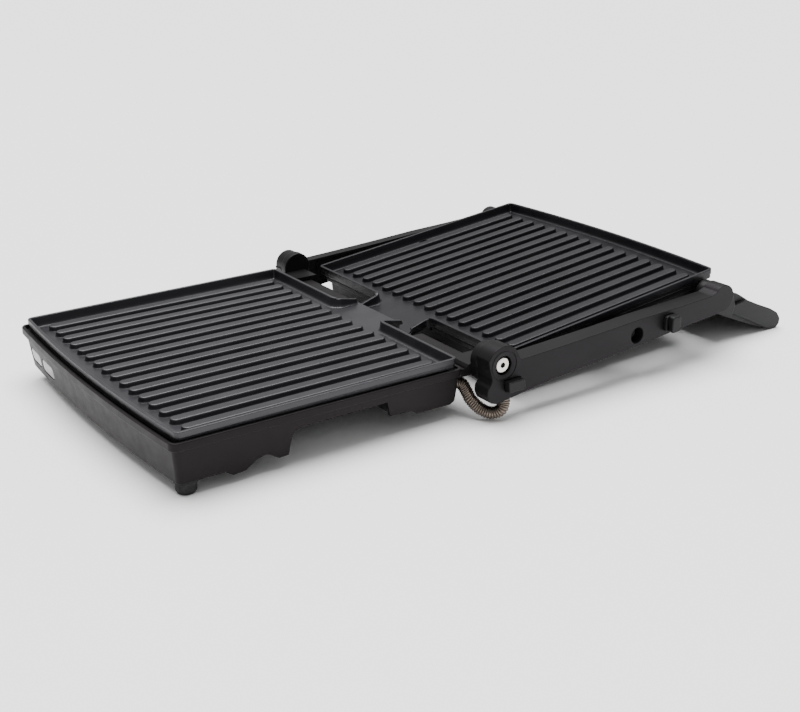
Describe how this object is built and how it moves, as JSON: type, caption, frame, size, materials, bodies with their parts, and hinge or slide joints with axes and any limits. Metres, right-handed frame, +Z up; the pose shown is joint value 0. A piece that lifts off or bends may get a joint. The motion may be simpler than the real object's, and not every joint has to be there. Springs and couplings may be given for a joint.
{
  "type": "panini press",
  "caption": "Contact grill that opens flat: ribbed lower and upper plates on a low base and a floating lid, two side arms, a rear hinge, a wide grip and a steel cable conduit.",
  "frame": {"origin": "centre of the bounding box's footprint, on the table plane under the feet", "axes": "+Z up; +Y from the base's front towards the opened lid; +X to the right side, where the release button, the knob and the cable conduit are"},
  "size_m": [0.3584, 0.6752, 0.0786],
  "materials": {
    "housing_plastic": "matte charcoal moulded plastic with a fine grain",
    "pan_metal": "black enamelled sheet steel",
    "grill_coating": "cast aluminium with a black non-stick coating, soft sheen",
    "element_sheath": "heat-darkened steel sheath",
    "shield_sheet": "plain sheet steel",
    "ceramic_part": "unglazed off-white ceramic",
    "foot_rubber": "matte black rubber",
    "lamp_lens": "milky grey translucent lens",
    "circuit_board": "phenolic board",
    "stainless": "satin stainless steel",
    "conduit_steel": "spiral-wound steel conduit, warm grey"
  },
  "bodies": {
    "base": {"base_casing": "housing_plastic", "base_pan": "pan_metal", "lower_grill_plate": "grill_coating", "lower_heating_element": "element_sheath", "lower_heat_shield": "shield_sheet", "lower_thermostat": "ceramic_part", "thermal_fuse": "shield_sheet", "front_foot_right": "foot_rubber", "front_foot_left": "foot_rubber", "rear_foot_right": "foot_rubber", "rear_foot_left": "foot_rubber", "terminal_block": "ceramic_part", "power_lamp_lens": "lamp_lens", "ready_lamp_lens": "lamp_lens", "lamp_board": "circuit_board", "mains_gland": "foot_rubber", "hinge_bracket_right": "housing_plastic", "hinge_bracket_left": "housing_plastic", "hinge_bolt_right": "stainless", "hinge_bolt_left": "stainless", "pan_screw_1": "stainless", "pan_screw_2": "stainless", "pan_screw_3": "stainless", "pan_screw_4": "stainless", "flexible_conduit": "conduit_steel"},
    "arm_frame": {"arm_right": "housing_plastic", "arm_left": "housing_plastic", "arm_front_cover_right": "housing_plastic", "arm_front_cover_left": "housing_plastic", "arm_rear_cover_right": "housing_plastic", "arm_rear_cover_left": "housing_plastic", "handle_grip": "housing_plastic", "handle_pin_right": "stainless", "handle_pin_left": "stainless"},
    "lid": {"upper_housing": "housing_plastic", "upper_grill_plate": "grill_coating", "upper_heating_element": "element_sheath", "upper_heat_shield": "shield_sheet", "upper_thermostat": "ceramic_part", "lid_pivot_screw_right": "stainless", "lid_pivot_screw_left": "stainless"},
    "button": {"release_button": "housing_plastic"},
    "knob": {"height_knob": "housing_plastic"}
  },
  "joints": [
    {"name": "lid_hinge", "type": "hinge", "parent": "base", "child": "arm_frame", "pos_m": [-0.0082, -0.0414, 0.052], "axis": [1, 0, 0], "range_deg": [0, 171.5], "deforming": ["flexible_conduit"]},
    {"name": "lid_float", "type": "hinge", "parent": "arm_frame", "child": "lid", "pos_m": [-0.0082, 0.113, 0.0454], "axis": [1, 0, 0], "range_deg": [-0.5, 3]},
    {"name": "release_button_push", "type": "slide", "parent": "arm_frame", "child": "button", "axis": [-1, 0, 0], "range_m": [0, 0.003], "stiffness_N_per_m": 300},
    {"name": "height_knob_turn", "type": "hinge", "parent": "arm_frame", "child": "knob", "pos_m": [-0.0082, 0.1534, 0.0498], "axis": [1, 0, 0], "range_deg": [0, 90]}
  ]
}
